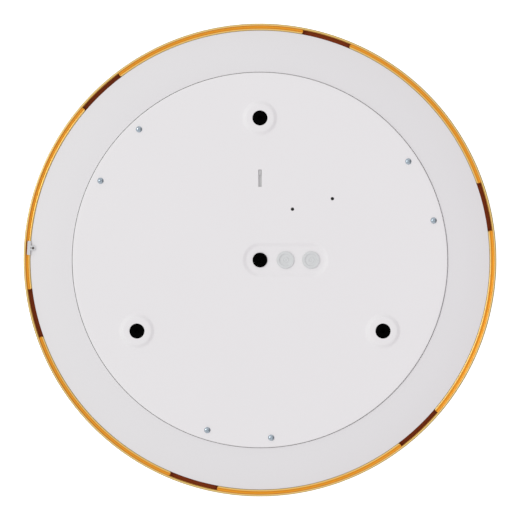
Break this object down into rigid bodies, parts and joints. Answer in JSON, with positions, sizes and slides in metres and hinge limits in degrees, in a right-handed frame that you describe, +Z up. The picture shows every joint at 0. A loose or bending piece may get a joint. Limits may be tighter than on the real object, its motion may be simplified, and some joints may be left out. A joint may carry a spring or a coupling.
{
  "type": "ceiling light",
  "caption": "Round surface-mounted LED ceiling light with a gold twist-off trim ring, opal diffuser, raised ceiling plate and cable entries.",
  "frame": {"origin": "centre of the ceiling face, which is the plane of the three fixing bosses' tops", "axes": "+Z up into the ceiling; +Y from the centre to the first fixing point; +X from the open cable entry to the blanked ones"},
  "size_m": [0.5, 0.5, 0.072],
  "materials": {
    "white_enamel": "satin powder coat",
    "pan_enamel": "satin powder coat",
    "tab_enamel": "satin powder coat",
    "reflector_enamel": "matt reflective powder coat",
    "gold_satin": "satin gold anodised",
    "opal": "opal acrylic, soft gloss",
    "black_rubber": "matt",
    "grey_rubber": "matt",
    "grey_foam": "closed-cell foam",
    "screw_steel": "bright zinc plate",
    "dark_screw": "black zinc plate",
    "zinc_steel": "zinc coated",
    "spring_steel": "rolled",
    "grey_plastic": "fine texture",
    "knob_plastic": "fine texture",
    "white_plastic": "fine texture",
    "black_plastic": "matt",
    "brown_plastic": "satin",
    "blue_plastic": "satin",
    "green_plastic": "satin",
    "red_plastic": "satin",
    "board_green": "solder mask",
    "board_white": "white solder mask",
    "contact_brass": "stamped",
    "winding_copper": "enamelled winding",
    "tape_yellow": "tape-wrapped core",
    "can_blue": "sleeved cans",
    "phosphor": "phosphor window"
  },
  "bodies": {
    "base": {"ceiling_plate": "white_enamel", "body_pan": "pan_enamel", "fixing_grommets": "black_rubber", "cable_grommet": "black_rubber", "spare_grommets": "grey_rubber", "plate_screws": "screw_steel", "tray_brackets": "zinc_steel", "hold_down_tab": "tab_enamel", "tab_screw": "dark_screw", "selector_body": "grey_plastic", "terminal_block": "white_plastic", "terminal_contacts": "contact_brass", "terminal_pegs": "black_plastic", "clamp_springs": "spring_steel", "cord_grip": "white_plastic", "cord_grip_screws": "screw_steel", "earth_stud": "screw_steel", "earth_tag": "contact_brass", "earth_nut": "screw_steel", "lead_live": "brown_plastic", "lead_neutral": "blue_plastic", "lead_earth": "green_plastic", "insulating_sheet": "black_plastic", "driver_case": "white_plastic", "driver_cover": "white_plastic", "driver_board": "board_green", "driver_transformer": "tape_yellow", "driver_capacitors": "can_blue", "driver_choke": "winding_copper", "driver_terminals": "white_plastic", "driver_screws": "screw_steel", "led_tray": "reflector_enamel", "tray_screws": "screw_steel", "outer_boards": "board_white", "middle_boards": "board_white", "inner_boards": "board_white", "outer_emitters": "phosphor", "middle_emitters": "phosphor", "inner_emitters": "phosphor", "board_screws": "screw_steel", "board_connectors": "white_plastic", "output_leads": "red_plastic", "ring_links": "red_plastic"},
    "ring": {"trim_ring": "gold_satin", "diffuser": "opal", "diffuser_gasket": "grey_foam", "diffuser_clips": "spring_steel"},
    "selector": {"selector_knob": "knob_plastic"},
    "push_live": {"button_live": "brown_plastic"},
    "push_neutral": {"button_neutral": "blue_plastic"},
    "push_earth": {"button_earth": "green_plastic"}
  },
  "joints": [
    {"name": "ring_turn", "type": "hinge", "parent": "base", "child": "ring", "pos_m": [0, 0, -0.033], "axis": [0, 0, 1], "range_deg": [-22, 0]},
    {"name": "selector_slide", "type": "slide", "parent": "base", "child": "selector", "axis": [0, 1, 0], "range_m": [-0.012, 0]},
    {"name": "live_push", "type": "slide", "parent": "base", "child": "push_live", "axis": [0, 0, 1], "range_m": [0, 0.0015], "stiffness_N_per_m": 600},
    {"name": "neutral_push", "type": "slide", "parent": "base", "child": "push_neutral", "axis": [0, 0, 1], "range_m": [0, 0.0015], "stiffness_N_per_m": 600},
    {"name": "earth_push", "type": "slide", "parent": "base", "child": "push_earth", "axis": [0, 0, 1], "range_m": [0, 0.0015], "stiffness_N_per_m": 600}
  ]
}
